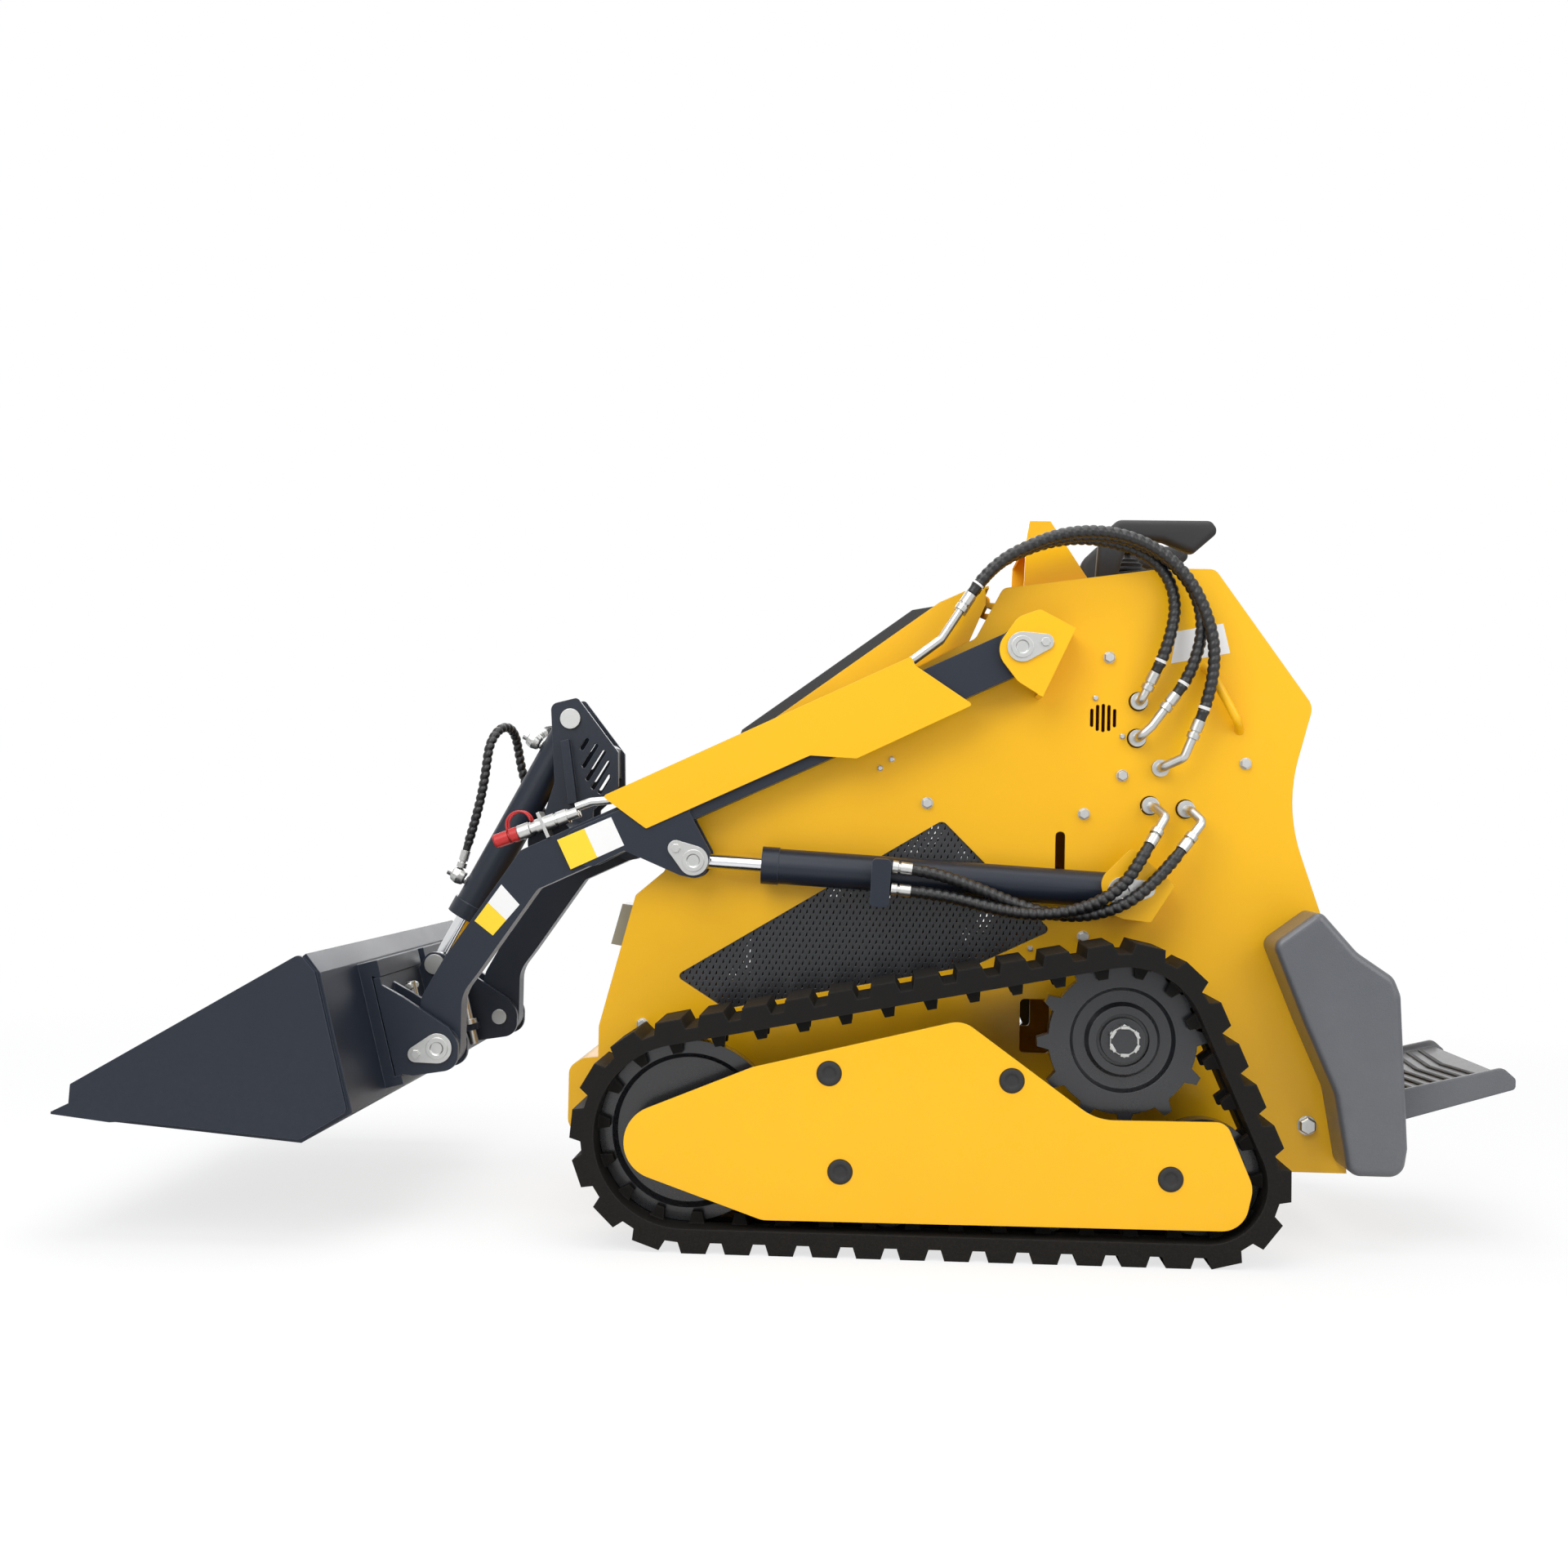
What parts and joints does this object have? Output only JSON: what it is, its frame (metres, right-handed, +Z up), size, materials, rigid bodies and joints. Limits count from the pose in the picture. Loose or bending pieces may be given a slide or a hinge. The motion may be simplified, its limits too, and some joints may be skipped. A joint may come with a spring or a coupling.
{
  "type": "mini skid steer loader",
  "caption": "Compact stand-on skid steer loader on rubber tracks, with lift arms, a tilting bucket, a sloping engine hood and a folding rear step.",
  "frame": {"origin": "on the ground, in the middle of the machine's length and width", "axes": "+X forward to the bucket, +Y to the machine's left, +Z up"},
  "size_m": [2.466, 1.15, 1.2686],
  "materials": {
    "black_paint": "satin paint",
    "cast_weight": "smooth cast, painted grey",
    "chrome_rod": "ground and polished",
    "engine_iron": "rough cast",
    "handle_foam": "moulded, matt",
    "hose_rubber": "spiral wrapped",
    "lamp_housing": "moulded",
    "mesh_steel": "perforated, satin",
    "red_cap": "moulded",
    "slate_paint": "satin powder coat",
    "track_rubber": "matt moulded",
    "yellow_paint": "satin powder coat",
    "zinc_steel": "zinc plated"
  },
  "bodies": {
    "chassis": {"arm_pivot_brackets": "yellow_paint", "belly_pan": "yellow_paint", "chassis_pins": "zinc_steel", "control_console": "black_paint", "control_levers": "handle_foam", "control_tower": "yellow_paint", "counterweights": "cast_weight", "cover_plugs": "handle_foam", "cylinder_brackets": "yellow_paint", "engine_block": "engine_iron", "final_drives": "black_paint", "front_idlers": "black_paint", "front_lamps": "lamp_housing", "front_panel": "yellow_paint", "grab_bars": "handle_foam", "lift_hoses_left": "hose_rubber", "lift_hoses_right": "hose_rubber", "mesh_panels": "mesh_steel", "nose_bumper": "yellow_paint", "pivot_hoses": "hose_rubber", "port_elbows": "zinc_steel", "rear_idlers": "black_paint", "rear_wall": "yellow_paint", "side_plate_left": "yellow_paint", "side_plate_right": "yellow_paint", "sprockets": "black_paint", "step_hinge": "black_paint", "top_deck": "yellow_paint", "track_cover_left": "yellow_paint", "track_cover_right": "yellow_paint", "track_frame_left": "black_paint", "track_frame_right": "black_paint", "track_left": "track_rubber", "track_right": "track_rubber", "track_rollers": "black_paint"},
    "hood": {"hood_shell": "yellow_paint", "hood_grille": "mesh_steel"},
    "step": {"step": "cast_weight"},
    "arms": {"lift_arm_left": "slate_paint", "lift_arm_right": "slate_paint", "cross_tube": "slate_paint", "tilt_bracket": "slate_paint", "arm_cover_left": "yellow_paint", "arm_cover_right": "yellow_paint", "arm_pipes": "zinc_steel", "coupler_caps": "red_cap", "arm_pins": "zinc_steel", "tilt_hoses": "hose_rubber"},
    "bucket": {"bucket": "slate_paint", "attach_plate": "slate_paint", "bucket_pins": "zinc_steel"},
    "lift_barrel_left": {"lift_barrel_left": "slate_paint", "barrel_fittings_left": "zinc_steel"},
    "lift_rod_left": {"lift_rod_left": "chrome_rod"},
    "lift_barrel_right": {"lift_barrel_right": "slate_paint", "barrel_fittings_right": "zinc_steel"},
    "lift_rod_right": {"lift_rod_right": "chrome_rod"},
    "tilt_barrel": {"tilt_barrel": "slate_paint", "tilt_fittings": "zinc_steel"},
    "tilt_rod": {"tilt_rod": "chrome_rod"}
  },
  "joints": [
    {"name": "arm_lift", "type": "hinge", "parent": "chassis", "child": "arms", "pos_m": [-0.355, 0, 1.024], "axis": [0, -1, 0], "range_deg": [-8.5, 68], "deforming": ["pivot_hoses"]},
    {"name": "bucket_tilt", "type": "hinge", "parent": "arms", "child": "bucket", "pos_m": [0.648, 0, 0.307], "axis": [0, 1, 0], "range_deg": [-18, 105]},
    {"name": "hood_lid", "type": "hinge", "parent": "chassis", "child": "hood", "pos_m": [-0.3, 0, 1.128], "axis": [0, -1, 0], "range_deg": [0, 55]},
    {"name": "step_fold", "type": "hinge", "parent": "chassis", "child": "step", "pos_m": [-0.975, 0, 0.24], "axis": [0, 1, 0], "range_deg": [0, 85]},
    {"name": "lift_barrel_left_swing", "type": "hinge", "parent": "chassis", "child": "lift_barrel_left", "pos_m": [-0.534, 0.287, 0.605], "axis": [0, -1, 0], "range_deg": [-8, 46], "deforming": ["lift_hoses_left"]},
    {"name": "lift_rod_left_slide", "type": "slide", "parent": "lift_barrel_left", "child": "lift_rod_left", "axis": [0.9987, 0, 0.0511], "range_m": [-0.071, 0.35]},
    {"name": "lift_barrel_right_swing", "type": "hinge", "parent": "chassis", "child": "lift_barrel_right", "pos_m": [-0.534, -0.287, 0.605], "axis": [0, -1, 0], "range_deg": [-8, 46], "deforming": ["lift_hoses_right"]},
    {"name": "lift_rod_right_slide", "type": "slide", "parent": "lift_barrel_right", "child": "lift_rod_right", "axis": [0.9987, 0, 0.0511], "range_m": [-0.071, 0.35]},
    {"name": "tilt_barrel_swing", "type": "hinge", "parent": "arms", "child": "tilt_barrel", "pos_m": [0.47, 0, 0.899], "axis": [0, -1, 0], "range_deg": [-6, 2], "deforming": ["tilt_hoses"]},
    {"name": "tilt_rod_slide", "type": "slide", "parent": "tilt_barrel", "child": "tilt_rod", "axis": [0.4726, 0, -0.8813], "range_m": [-0.042, 0.218]}
  ],
  "couplings": [
    {"joint": "lift_barrel_left_swing", "follows": "arm_lift", "ratio": 0.65},
    {"joint": "lift_rod_left_slide", "follows": "arm_lift", "m_per_rad": 0.29335},
    {"joint": "lift_barrel_right_swing", "follows": "arm_lift", "ratio": 0.65},
    {"joint": "lift_rod_right_slide", "follows": "arm_lift", "m_per_rad": 0.29335},
    {"joint": "tilt_barrel_swing", "follows": "bucket_tilt", "ratio": -0.04},
    {"joint": "tilt_rod_slide", "follows": "bucket_tilt", "m_per_rad": 0.11746}
  ]
}
